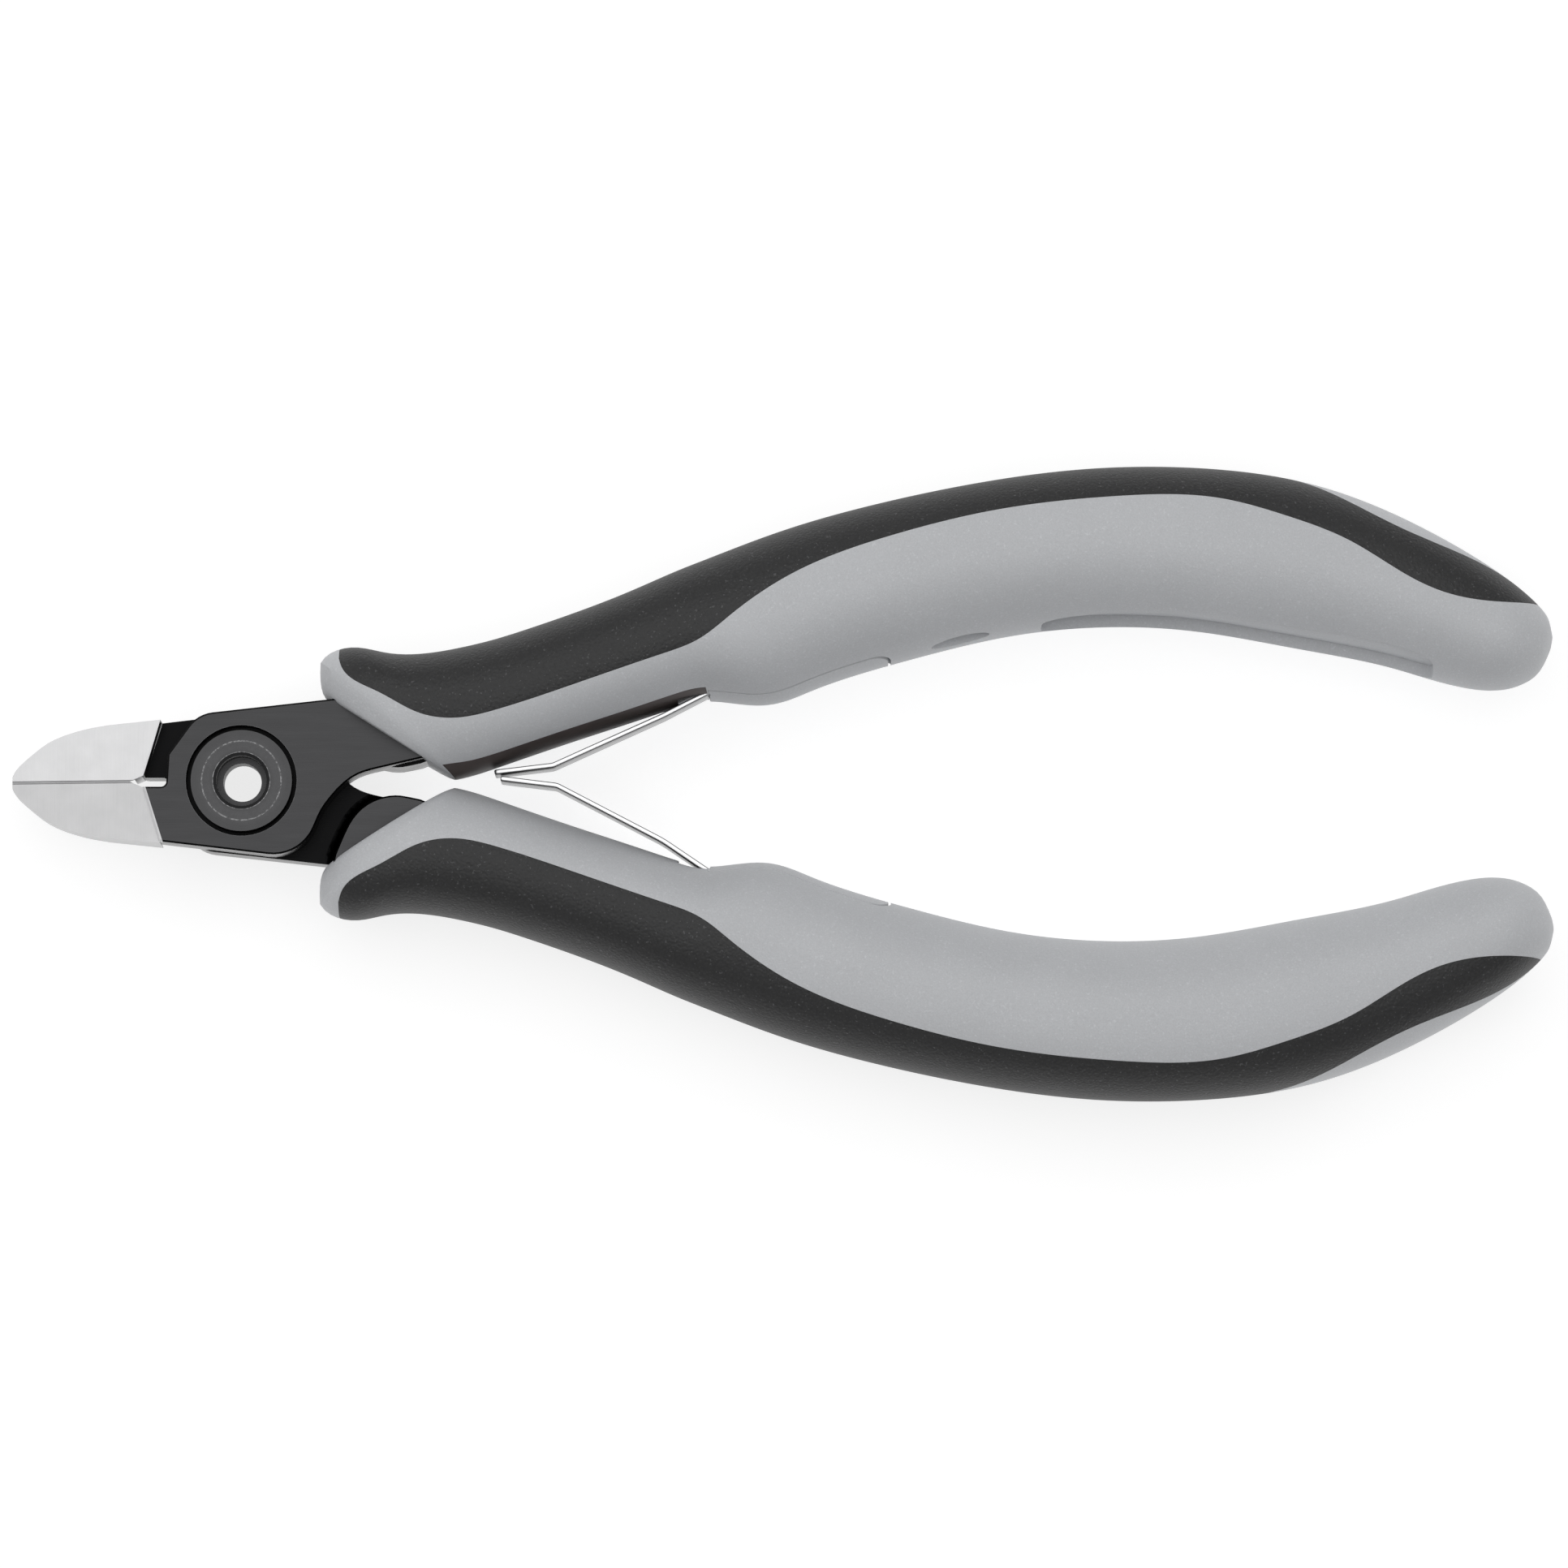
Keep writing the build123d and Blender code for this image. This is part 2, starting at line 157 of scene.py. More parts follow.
# Lights: name, place from the middle of the tool, size and power.
LIGHTS = (
    ("overhead", (0.0, 0.18, 0.85), 1.1, 5.4),
    ("side", (-0.5, 0.2, 0.4), 0.3, 0.35),
)


def length(name, description, default):
    return FloatProperty(name=name, description=description, default=default,
                         subtype="DISTANCE", unit="LENGTH", precision=5)


def colour(name, description, default):
    return FloatVectorProperty(name=name, description=description, default=default,
                               subtype="COLOR", size=3, min=0.0, max=1.0)


class CUTTER_PG_grips(bpy.types.PropertyGroup):
    """Sizes of the moulded grips"""
    handle_reach: length("Handle reach", "Pivot to the end of a grip", 0.1064)
    grip_reach: length("Grip reach", "Centre line to the outermost point", 0.02585)
    half_thickness: length("Half thickness", "Half the thickness of a grip", 0.0075)
    skin_inner: length("Inner wall", "Wall between the core and the inner face", 0.0022)
    skin_outer: length("Outer wall", "Wall between the core and the outer face", 0.0026)
    skin_side: length("Side wall", "Wall between the core and the sides", 0.0023)
    pad_thickness: length("Pad thickness", "Depth of the soft pad", 0.0012)
    seam: length("Seam", "Width of the groove between two mouldings", 0.00002)
    tab_gap: length("Tab gap", "Gap round the tab that holds a leaf", 0.00022)
    nose_round: length("Nose rounding", "How far the nose rounds off towards the joint", 0.0009)
    window_half_width: length("Window", "Half the width of the window in the pad", 0.0052)
    inner_powers: FloatVectorProperty(
        name="Inner fullness", size=5, default=(2.15, 2.0, 2.0, 2.0, 2.1),
        description="How much fuller than an ellipse the inner side is, at five places")
    outer_power: FloatProperty(
        name="Outer fullness", default=2.5,
        description="How much fuller than an ellipse the outer side is")
    rows: IntProperty(name="Rows", description="Rows of faces along a grip", default=230)
    columns: IntProperty(name="Columns", description="Faces round half a section", default=46)


class CUTTER_PG_springs(bpy.types.PropertyGroup):
    """Sizes of the leaf springs"""
    thickness: length("Thickness", "Thickness of the leaf", 0.0004)
    width: length("Width", "Width of the leaf", 0.0045)
    kink_radius: length("Kink radius", "Bend between the flat tip and the blade", 0.0013)
    bow_radius: length("Bow radius", "Bend near the root", 0.009)
    edge_break: length("Edge", "Rounding of the leaf's edges", 0.00012)
    lean: length("Lean", "How far both tips stand to the upper side", 0.00055)


class CUTTER_PG_finishes(bpy.types.PropertyGroup):
    """Colours of the finishes"""
    ground: colour("Ground steel", "Bright jaws", (0.60, 0.60, 0.605))
    burnished: colour("Burnished steel", "Brushed black plates", (0.046, 0.046, 0.048))
    disc: colour("Disc", "Turned faces of the bolt and its nut", (0.058, 0.058, 0.060))
    blackened: colour("Blackened steel", "Walls and recesses", (0.006, 0.006, 0.0062))
    spring: colour("Spring steel", "Bright leaf springs", (0.72, 0.72, 0.73))
    shell: colour("Shell", "Hard grey plastic", (0.55, 0.56, 0.578))
    pad: colour("Pad", "Soft black plastic", (0.016, 0.016, 0.0165))
    core: colour("Core", "Hard inner plastic", (0.080, 0.066, 0.063))


class CUTTER_PG_stage(bpy.types.PropertyGroup):
    """Floor, light and camera"""
    middle: length("Middle", "Pivot to the middle of the view", 0.04394)
    view_width: length("View width", "Width of the view at the tool", 0.1274)
    distance: length("Distance", "Camera to the tool", 1.1)
    pitch: FloatProperty(name="Pitch", description="Camera below the upright", subtype="ANGLE",
                         default=radians(4.2))
    yaw: FloatProperty(name="Yaw", description="Camera to the side of the upright",
                       subtype="ANGLE", default=0.0)
    floor: colour("Floor", "Plain pale floor", (0.38, 0.38, 0.38))
    floor_size: length("Floor size", "Half the side of the floor", 3.0)
    floor_glow: FloatProperty(name="Floor glow", description="Evens out the pale floor",
                              default=0.76)
    sky: FloatProperty(name="Sky", description="Strength of the light from all sides",
                       default=0.25)


# ---- shader maths ----
class Value:
    """A shader output that takes part in Python expressions."""

    def __init__(self, finish, socket):
        self.finish = finish
        self.socket = socket

    def math(self, operation, *others):
        inputs = dict(enumerate((self, *others)))
        return self.finish.node("ShaderNodeMath", dict(operation=operation), inputs)

    def __add__(self, other):
        return self.math("ADD", other)

    def __sub__(self, other):
        return self.math("SUBTRACT", other)

    def __rsub__(self, other):
        return self.finish.node("ShaderNodeMath", dict(operation="SUBTRACT"), {0: other, 1: self})

    def __mul__(self, other):
        return self.math("MULTIPLY", other)

    def __truediv__(self, other):
        return self.math("DIVIDE", other)

    __radd__ = __add__
    __rmul__ = __mul__

    def __abs__(self):
        return self.math("ABSOLUTE")

    def larger(self, other):
        return self.math("MAXIMUM", other)

    def step(self, low, high):
        """0 below low, 1 above high, smooth between."""
        return self.finish.node(
            "ShaderNodeMapRange", dict(interpolation_type="SMOOTHSTEP"),
            {"Value": self, "From Min": low, "From Max": high})


class Finish:
    """One material, made node by node."""

    def __init__(self, name):
        self.material = bpy.data.materials.new(name)
        self.material.use_nodes = True
        self.tree = self.material.node_tree
        self.tree.nodes.clear()
        self.place = self.node("ShaderNodeTexCoord", out="Object")

    def node(self, kind, settings=None, inputs=None, out=0):
        """Adds a node: its settings first, then the values or links of its sockets."""
        node = self.tree.nodes.new(kind)
        for key, value in (settings or {}).items():
            setattr(node, key, value)
        for key, value in (inputs or {}).items():
            if isinstance(value, Value):
                self.tree.links.new(value.socket, node.inputs[key])
            else:
                node.inputs[key].default_value = value
        return None if out is None else Value(self, node.outputs[out])

    def axes(self, vector=None):
        """The three parts of a place or a direction."""
        split = self.node("ShaderNodeSeparateXYZ", inputs={0: vector or self.place}).socket.node
        return [Value(self, split.outputs[k]) for k in range(3)]

    def facing(self):
        """The three parts of the direction that the surface faces."""
        return self.axes(self.node("ShaderNodeNewGeometry", out="Normal"))

    def scaled(self, x, y, z):
        """Object coordinates in grains: each size in metres is one grain across."""
        return self.node("ShaderNodeVectorMath", dict(operation="MULTIPLY"),
                         {0: self.place, 1: (1 / x, 1 / y, 1 / z)})

    def noise(self, vector, detail=2.0, rough=0.5):
        return self.node("ShaderNodeTexNoise", dict(noise_dimensions="3D"),
                         {"Vector": vector, "Scale": 1.0, "Detail": detail, "Roughness": rough})

    def pebbles(self, vector):
        """1 in the middle of each pebble, less towards its edges."""
        return 1 - self.node("ShaderNodeTexVoronoi", dict(feature="SMOOTH_F1"),
                             {"Vector": vector, "Scale": 1.0}, out="Distance")

    def choose(self, share, low, high):
        """One value turning into another."""
        return low * (1 - share) + high * share

    def mix(self, share, low, high):
        """One colour turning into another."""
        sides = {}
        for key, value in ((6, low), (7, high)):
            sides[key] = value if isinstance(value, Value) else (*value, 1.0)
        return self.node("ShaderNodeMix", dict(data_type="RGBA"), {0: share, **sides}, out=2)

    def shade(self, tint, factor):
        """A colour made lighter or darker by a varying factor."""
        grey = self.node("ShaderNodeCombineColor", inputs={0: factor, 1: factor, 2: factor})
        base = tint if isinstance(tint, Value) else (*tint, 1.0)
        return self.node("ShaderNodeMix", dict(data_type="RGBA", blend_type="MULTIPLY"),
                         {0: 1.0, 6: base, 7: grey}, out=2)

    def bump(self, height, depth):
        return self.node("ShaderNodeBump",
                         inputs={"Height": height, "Distance": depth, "Strength": 1.0})

    def edges(self, radius, low, high):
        """1 on outer edges and in creases, 0 on open faces."""
        rounded = self.node("ShaderNodeBevel", dict(samples=6), {"Radius": radius})
        flat = self.node("ShaderNodeNewGeometry", out="Normal")
        along = self.node("ShaderNodeVectorMath", dict(operation="DOT_PRODUCT"),
                          {0: rounded, 1: flat}, out="Value")
        return (1 - along).step(low, high)

    def end(self, shader):
        """Ends the tree in this shader."""
        self.node("ShaderNodeOutputMaterial", inputs={"Surface": shader}, out=None)
        return self.material

    def close(self, inputs):
        """Ends the tree in one surface shader."""
        return self.end(self.node("ShaderNodeBsdfPrincipled", inputs=inputs))


def steel_half(name, side):
    """Black plate with a bright ground jaw; side is -1 where the jaw is below."""
    colours = bpy.context.scene.cutter_finishes
    f = Finish(name)
    x, y, z = f.axes()
    east, _, up = f.facing()
    high = abs(z)
    own_side = (y * side).step(-0.02 * MM, 0.0)
    # distance past the slanted line across the jaw's root, towards the plate
    past_root = x + y * -side * ROOT_SLOPE + ROOT_REACH
    past_face = past_root + ROOT_FACE
    # the jaw is all that lies past its root, with the step's narrow edge, less the dark wall
    root_wall = own_side * abs(past_root + 0.31 * MM).step(0.2 * MM, 0.12 * MM)
    root_wall = root_wall * east.step(0.4, 0.7)
    step_edge = (past_root + 0.09 * MM).step(0.01 * MM, -0.01 * MM) * high.step(3.0 * MM, 3.1 * MM)
    jaw = past_face.step(0.01 * MM, -0.01 * MM).larger(step_edge)
    jaw = jaw * own_side * (1 - root_wall)
    # painted highlight: a bright line along the jaw's root, where the step's chamfer catches the
    # light
    root_highlight = past_face.step(-0.14 * MM, -0.04 * MM) * jaw
    # only the flat outer faces of the plates are brushed
    brushed = abs(up).step(0.9, 0.97) * high.step(3.4 * MM, 3.6 * MM)
    lines = f.noise(f.scaled(2.4 * MM, 0.07 * MM, 0.3 * MM), detail=3.0)
    waves = f.noise(f.scaled(5.0 * MM, 0.6 * MM, 1.0 * MM), detail=2.0)
    grind = f.noise(f.scaled(0.08 * MM, 3.0 * MM, 0.08 * MM), detail=3.0)
    clouds = f.noise(f.scaled(2.2 * MM, 2.2 * MM, 2.2 * MM), detail=4.0)
    # painted highlight: the plates' outer edges are painted lighter where their chamfers catch the
    # light
    plate_edge_highlight = f.edges(0.10 * MM, 0.03, 0.35) * high.step(3.4 * MM, 3.7 * MM)
    plate = f.shade(colours.burnished, 0.6 + lines * 0.5 + waves * 0.3)
    black = f.mix(brushed, f.shade(colours.blackened, 0.7 + clouds * 0.6), plate)
    black = f.mix(plate_edge_highlight * (0.2 + clouds * 0.5), black, (0.32, 0.32, 0.33))
    # painted shade: the lower jaw is painted darker than the upper one, as its face catches less
    # light
    jaw_shade_by_side = 0.78 if side > 0 else 0.62
    bright = f.shade(colours.ground, jaw_shade_by_side + grind * 0.1 + clouds * 0.26 + root_highlight * 0.5)
    surface = f.mix(jaw, black, bright)
    return f.close({
        "Base Color": f.mix(root_wall, surface, (0.06, 0.06, 0.06)),
        "Metallic": 1 - brushed * (1 - jaw) * 0.45 - root_highlight * 0.5,
        "Roughness": f.choose(jaw, f.choose(brushed, 0.2 + clouds * 0.14, 0.34 + lines * 0.16),
                              0.28 + grind * 0.06 + clouds * 0.1 + root_highlight * 0.35),
        "Normal": f.bump(f.choose(jaw, lines + waves * 0.5, grind * 0.3), 0.008 * MM),
    })


def turned_steel(name, rings):
    """Blackened steel with fine turning marks and a few bright rings of painted highlight."""
    colours = bpy.context.scene.cutter_finishes
    f = Finish(name)
    x, y, z = f.axes()
    _, _, up = f.facing()
    radius = (x * x + y * y).math("SQRT")
    spread = f.node("ShaderNodeCombineXYZ", inputs={0: radius / (0.06 * MM), 2: z / (0.3 * MM)})
    marks = f.noise(spread, detail=2.0)
    flecks = f.noise(f.scaled(0.3 * MM, 0.3 * MM, 0.3 * MM), detail=4.0, rough=0.7)
    clouds = f.noise(f.scaled(1.2 * MM, 1.2 * MM, 1.2 * MM), detail=3.0)
    # painted highlights: bright rings where the turned edges catch the light, broken up by flecks
    ring_highlight = None
    for place, width, strength in rings:
        near = abs(radius - place * MM).step(width * MM, 0.0) * strength
        ring_highlight = near if ring_highlight is None else ring_highlight.larger(near)
    ring_highlight = ring_highlight * (flecks.step(0.42, 0.62) + 0.12)
    speckled = flecks * radius.step(2.3 * MM, 2.7 * MM) * radius.step(3.9 * MM, 3.0 * MM)
    face = f.shade(colours.disc, 0.66 + marks * 0.4 + clouds * 0.24 + speckled * 0.4)
    black = f.mix(abs(up).step(0.2, 0.6), f.shade((0.02, 0.02, 0.02), 0.7 + clouds * 0.6), face)
    return f.close({
        "Base Color": f.mix(ring_highlight, black, (0.55, 0.55, 0.56)),
        "Metallic": 0.6,
        "Roughness": 0.33 + marks * 0.16,
        "Normal": f.bump(marks, 0.01 * MM),
    })


def grey_shell(name):
    """Fine-grained hard grey plastic, with painted highlights along its edges."""
    colours = bpy.context.scene.cutter_finishes
    f = Finish(name)
    grain = f.noise(f.scaled(0.14 * MM, 0.14 * MM, 0.14 * MM), detail=3.0, rough=0.6)
    specks = f.noise(f.scaled(0.2 * MM, 0.2 * MM, 0.2 * MM), detail=2.0)
    clouds = f.noise(f.scaled(7 * MM, 7 * MM, 7 * MM), detail=4.0)
    light = specks.step(0.58, 0.74)
    # painted highlight: edges and parting lines painted lighter where they catch the light
    lip_highlight = f.edges(0.1 * MM, 0.04, 0.2)
    tint = f.shade(colours.shell, 0.8 + grain * 0.28 + clouds * 0.1 + light * 0.14)
    return f.close({
        "Base Color": f.mix(lip_highlight * (0.3 + clouds * 0.5), tint, (0.62, 0.63, 0.64)),
        "Roughness": 0.44 + clouds * 0.12 + grain * 0.1,
        "Normal": f.bump(grain + specks * 0.7, 0.022 * MM),
    })


def soft_pad(name):
    """Pebble-grained soft black plastic."""
    colours = bpy.context.scene.cutter_finishes
    f = Finish(name)
    pebbles = f.pebbles(f.scaled(0.22 * MM, 0.22 * MM, 0.22 * MM))
    fine = f.noise(f.scaled(0.16 * MM, 0.16 * MM, 0.16 * MM), detail=3.0)
    # painted glints: bright specks standing in for light caught on the grain
    specks = f.noise(f.scaled(0.24 * MM, 0.24 * MM, 0.24 * MM), detail=1.0).step(0.66, 0.74)
    clouds = f.noise(f.scaled(8 * MM, 8 * MM, 8 * MM), detail=2.0)
    return f.close({
        "Base Color": f.shade(colours.pad,
                              0.6 + pebbles * 0.6 + fine * 0.3 + clouds * 0.2 + specks * 3),
        "Roughness": 0.46 + fine * 0.14 + clouds * 0.08,
        "Normal": f.bump(pebbles + fine * 0.6, 0.05 * MM),
    })


def hard_core(name):
    """Smooth dark plastic with a soft gloss."""
    colours = bpy.context.scene.cutter_finishes
    f = Finish(name)
    fine = f.noise(f.scaled(0.2 * MM, 0.2 * MM, 0.2 * MM), detail=2.0)
    clouds = f.noise(f.scaled(4 * MM, 2 * MM, 2 * MM), detail=3.0)
    return f.close({
        "Specular IOR Level": 0.22,
        "Base Color": f.shade(colours.core, 0.7 + clouds * 0.6),
        "Roughness": 0.4 + clouds * 0.16,
        "Normal": f.bump(fine, 0.006 * MM),
    })


def spring_steel(name):
    """Bright rolled steel: polished narrow edges, dark corners, grey flats and dark ends."""
    colours = bpy.context.scene.cutter_finishes
    f = Finish(name)
    x, _, _ = f.axes()
    _, _, up = f.facing()
    narrow = abs(up).step(0.90, 0.98)
    corner = abs(up).step(0.15, 0.35) * (1 - narrow)
    tip = x.step(20.75 * MM, 20.55 * MM)
    drawn = f.noise(f.scaled(5 * MM, 5 * MM, 0.06 * MM), detail=2.0)
    clouds = f.noise(f.scaled(2 * MM, 2 * MM, 1 * MM), detail=2.0)
    flat = f.shade(colours.spring, 0.2 + drawn * 0.12 + clouds * 0.08)
    tint = f.mix(narrow, flat, colours.spring)
    return f.close({
        "Base Color": f.mix(corner.larger(tip), tint, (0.03, 0.03, 0.03)),
        "Metallic": 1.0,
        "Roughness": 0.2 + drawn * 0.14 + corner * 0.2,
        "Normal": f.bump(drawn, 0.004 * MM),
    })


# ---- lines along the grip ----
def smooth_line(points, at):
    """Smooth values through rows of points, at positions counted in rows."""
    points = np.asarray(points, float)
    gaps = np.linalg.norm(np.diff(points[:, :2] + (points[:, 2:4] if points.shape[1] > 3 else 0),
                                  axis=0), axis=1) + 1e-3
    knots = np.concatenate([[0.0], np.cumsum(gaps)])
    count = len(knots)
    system, pull = np.eye(count), np.zeros_like(points)
    for k in range(1, count - 1):
        system[k, k - 1:k + 2] = gaps[k - 1], 2 * (gaps[k - 1] + gaps[k]), gaps[k]
        pull[k] = 6 * ((points[k + 1] - points[k]) / gaps[k]
                       - (points[k] - points[k - 1]) / gaps[k - 1])
    bend = np.linalg.solve(system, pull)
    where = np.interp(at, np.arange(count), knots)
    cell = np.clip(np.searchsorted(knots, where, side="right") - 1, 0, count - 2)
    gap = gaps[cell][:, None]
    low = (knots[cell + 1] - where)[:, None] / gap
    high = 1 - low
    return (low * points[cell] + high * points[cell + 1]
            + ((low ** 3 - low) * bend[cell] + (high ** 3 - high) * bend[cell + 1]) * gap ** 2 / 6)


def station_values(at):
    """Inner point, outer point and half thickness of the grip at station positions, in metres."""
    sizes = bpy.context.scene.cutter_grips
    reach, across = sizes.handle_reach, sizes.grip_reach
    scale = np.array([reach, across, reach, across, sizes.half_thickness])
    values = smooth_line(STATIONS * scale * 1000, np.atleast_1d(at)) / 1000
    return values[:, 0:2], values[:, 2:4], values[:, 4]


def even_stations(first, last, count):
    """Station positions that are evenly apart along the grip."""
    dense = np.linspace(first, last, 1200)
    inner, outer, _ = station_values(dense)
    middle = (inner + outer) / 2
    steps = np.linalg.norm(np.diff(middle, axis=0), axis=1)
    steps = steps + 0.3 * np.linalg.norm(np.diff(outer - inner, axis=0), axis=1)
    run = np.concatenate([[0.0], np.cumsum(steps)])
    return np.interp(np.linspace(0, run[-1], count), run, dense)


def depth_point(at, depth):
    """Plan points this deep behind the inner face."""
    inner, outer, _ = station_values(at)
    outward = outer - inner
    outward /= np.linalg.norm(outward, axis=1)[:, None]
    return inner + outward * depth


def nose_rows(nose, steps):
    """Rows that round the nose between its front face, drawn in by this much, and station 1."""
    inner, outer, half = station_values([0.0, 1.0])
    outward = (outer[0] - inner[0]) / np.linalg.norm(outer[0] - inner[0])
    share = (np.arange(steps) / steps)[:, None]
    bend = ((1 - share) ** 2, 2 * share * (1 - share), share ** 2)

    def curve(start, corner, end):
        return bend[0] * start + bend[1] * corner + bend[2] * end
    return (curve(inner[0], (inner[0] + inner[1]) / 2, inner[1]),
            curve(outer[0] - outward * nose, outer[0], outer[1]),
            curve(half[0] - 0.25 * nose, half[0], half[1])[:, 0])


def even_turns(width=0.85, power=2.4):
    """Share of the way round half a section, and the turn there, for a typical section."""
    turn = np.linspace(0, pi, 6001)
    across = np.diff(width * rounded(np.cos(turn), power))
    up = np.diff(rounded(np.sin(turn), power))
    run = np.concatenate([[0.0], np.cumsum(np.hypot(across, up))])
    return run / run[-1], turn


def rounded(value, power):
    """Sine or cosine squared up, so that the section is fuller than an ellipse."""
    return np.sign(value) * np.abs(value) ** (2 / power)


# ---- mesh helpers ----
def as_object(name, mesh_maker):
    """A new object in the scene from a function that fills a bmesh."""
    bm = bmesh.new()
    mesh_maker(bm)
    mesh = bpy.data.meshes.new(name)
    bm.to_mesh(mesh)
    bm.free()
    made = bpy.data.objects.new(name, mesh)
    bpy.context.scene.collection.objects.link(made)
    return made


def combine(made, cutter, operation):
    """Cuts, joins or crosses a closed piece with another closed body."""
    step = made.modifiers.new("combine", "BOOLEAN")
    step.operation, step.solver, step.object = operation, "EXACT", cutter
    graph = bpy.context.evaluated_depsgraph_get()
    mesh = bpy.data.meshes.new_from_object(made.evaluated_get(graph))
    made.modifiers.clear()
    made.data = mesh
    bpy.data.objects.remove(cutter)
    return made


def clean(made):
    """Closes hairline seams that the cuts left and drops the slivers that hang loose."""
    bm = bmesh.new()
    bm.from_mesh(made.data)
    bmesh.ops.remove_doubles(bm, verts=bm.verts[:], dist=0.003 * MM)
    bmesh.ops.dissolve_degenerate(bm, dist=0.001 * MM, edges=bm.edges[:])
    islands, seen = [], set()
    for start in bm.faces:
        if start in seen:
            continue
        island, front = [], [start]
        seen.add(start)
        while front:
            face = front.pop()
            island.append(face)
            for edge in face.edges:
                for other in edge.link_faces:
                    if other not in seen:
                        seen.add(other)
                        front.append(other)
        islands.append(island)
    islands.sort(key=len)
    loose = [face for island in islands[:-1] for face in island]
    bmesh.ops.delete(bm, geom=loose, context="FACES")
    rims = [e for e in bm.edges if e.is_boundary]
    bmesh.ops.holes_fill(bm, edges=rims, sides=0)
    bmesh.ops.recalc_face_normals(bm, faces=bm.faces[:])
    bm.to_mesh(made.data)
    bm.free()


def grip_body(name, first=0, last=LAST_STATION, walls=(0, 0, 0), rows=None, nose=0.0):
    """Closed body along the stations, with this much off its inner, outer and side faces."""
    sizes = bpy.context.scene.cutter_grips
    rows = rows or sizes.rows
    columns = sizes.columns
    steps = 6 if nose else 0
    at = even_stations(max(first, 1) if nose else first, last, rows + 1 - steps)
    inner, outer, half = station_values(at)
    if nose:
        inner, outer, half = (np.concatenate([a, b]) for a, b in
                              zip(nose_rows(nose, steps), (inner, outer, half)))
        at = np.concatenate([np.zeros(steps), at])
    outward = outer - inner
    width = np.linalg.norm(outward, axis=1)
    outward /= width[:, None]
    off_inner, off_outer, off_side = walls
    share_round, turn_round = even_turns()
    inner_power = np.interp(at, POWER_STATIONS, sizes.inner_powers)

    def fill(bm):
        bmesh.ops.create_grid(bm, x_segments=rows, y_segments=columns, size=0.5)
        where = np.array([v.co for v in bm.verts])
        row = np.rint((where[:, 0] + 0.5) * rows).astype(int)
        turn = np.interp(where[:, 1] + 0.5, share_round, turn_round)
        power = np.where(turn < pi / 2, inner_power[row], sizes.outer_power)
        deep = 0.5 - 0.5 * rounded(np.cos(turn), power)
        high = rounded(np.sin(turn), power)
        high[(turn < 1e-6) | (turn > pi - 1e-6)] = 0
        wide = width[row] - off_inner - off_outer
        plan = inner[row] + outward[row] * (off_inner + deep * wide)[:, None]
        up = high * (half[row] - off_side)
        for vert, (px, py), pz in zip(bm.verts, plan, up):
            vert.co = (px, py, pz)
        everything = bm.verts[:] + bm.edges[:] + bm.faces[:]
        bmesh.ops.mirror(bm, geom=everything, merge_dist=1e-7, axis="Z")
        bmesh.ops.remove_doubles(bm, verts=bm.verts[:], dist=1e-6)
        rims = [e for e in bm.edges if e.is_boundary]
        bmesh.ops.holes_fill(bm, edges=rims, sides=0)
        bmesh.ops.recalc_face_normals(bm, faces=bm.faces[:])

    return as_object(name, fill)


def raised(name, outline, low, high, axis="Z"):
    """A flat outline raised along Z, or along Y for an outline in X and Z."""
    def fill(bm):
        if axis == "Z":
            corners = [(a, b, low) for a, b in outline]
            move = (0, 0, high - low)
        else:
            corners = [(a, low, b) for a, b in outline]
            move = (0, high - low, 0)
        face = bm.faces.new([bm.verts.new(c) for c in corners])
        grown = bmesh.ops.extrude_face_region(bm, geom=[face])
        top = [v for v in grown["geom"] if isinstance(v, bmesh.types.BMVert)]
        bmesh.ops.translate(bm, verts=top, vec=move)
        bmesh.ops.recalc_face_normals(bm, faces=bm.faces[:])
    return as_object(name, fill)


def band(name, first, last, near, far, half_width, count=60):
    """A block along the grip between two stations and between two depths from the inner face."""
    at = np.linspace(first, last, count)
    outline = [*depth_point(at, near), *depth_point(at[::-1], far)]
    return raised(name, outline, -half_width, half_width)


def beside(points, distance):
    """A line of plan points moved sideways by this distance, to the left of its run."""
    run = np.gradient(points, axis=0)
    run /= np.linalg.norm(run, axis=1)[:, None]
    return points + np.stack([-run[:, 1], run[:, 0]], axis=1) * distance


def pad_region(name, wider=0.0):
    """Everything outside the pad's edge in plan, less the window on its back."""
    sizes = bpy.context.scene.cutter_grips
    reach, across = sizes.handle_reach, sizes.grip_reach
    at = np.linspace(0, len(PAD_EDGE) - 1, 260)
    edge = smooth_line(PAD_EDGE * [reach, across] * 1000, at) / 1000
    edge = beside(edge, -wider)
    far = 1.5 * across
    around = [(reach * 1.1, edge[-1][1]), (reach * 1.1, far), (-10 * MM, far),
              (-10 * MM, across * 0.44), (edge[0][0], across * 0.44)]
    made = raised(name, [*edge, *around], -2 * sizes.half_thickness, 2 * sizes.half_thickness)
    window = raised(name + "_window", window_outline(-wider), 8 * MM, 2 * across, axis="Y")
    return combine(made, window, "DIFFERENCE")


def window_outline(wider=0.0):
    """Pointed lens seen from the back, along X and Z."""
    sizes = bpy.context.scene.cutter_grips
    start, end = WINDOW_ENDS
    half = sizes.window_half_width + wider
    share = np.linspace(0, 1, 60)
    x = start - wider + share * (end - start + 2 * wider)
    z = half * np.sin(pi * share ** 0.92) ** 0.85
    upper = list(zip(x, z))
    return upper + [(a, -b) for a, b in reversed(upper[1:-1])]


def inner_skin(name):
    """The body under the pads."""
    thickness = bpy.context.scene.cutter_grips.pad_thickness
    return grip_body(name, *SKIN_STATIONS, (-1 * MM, thickness, thickness), rows=150)


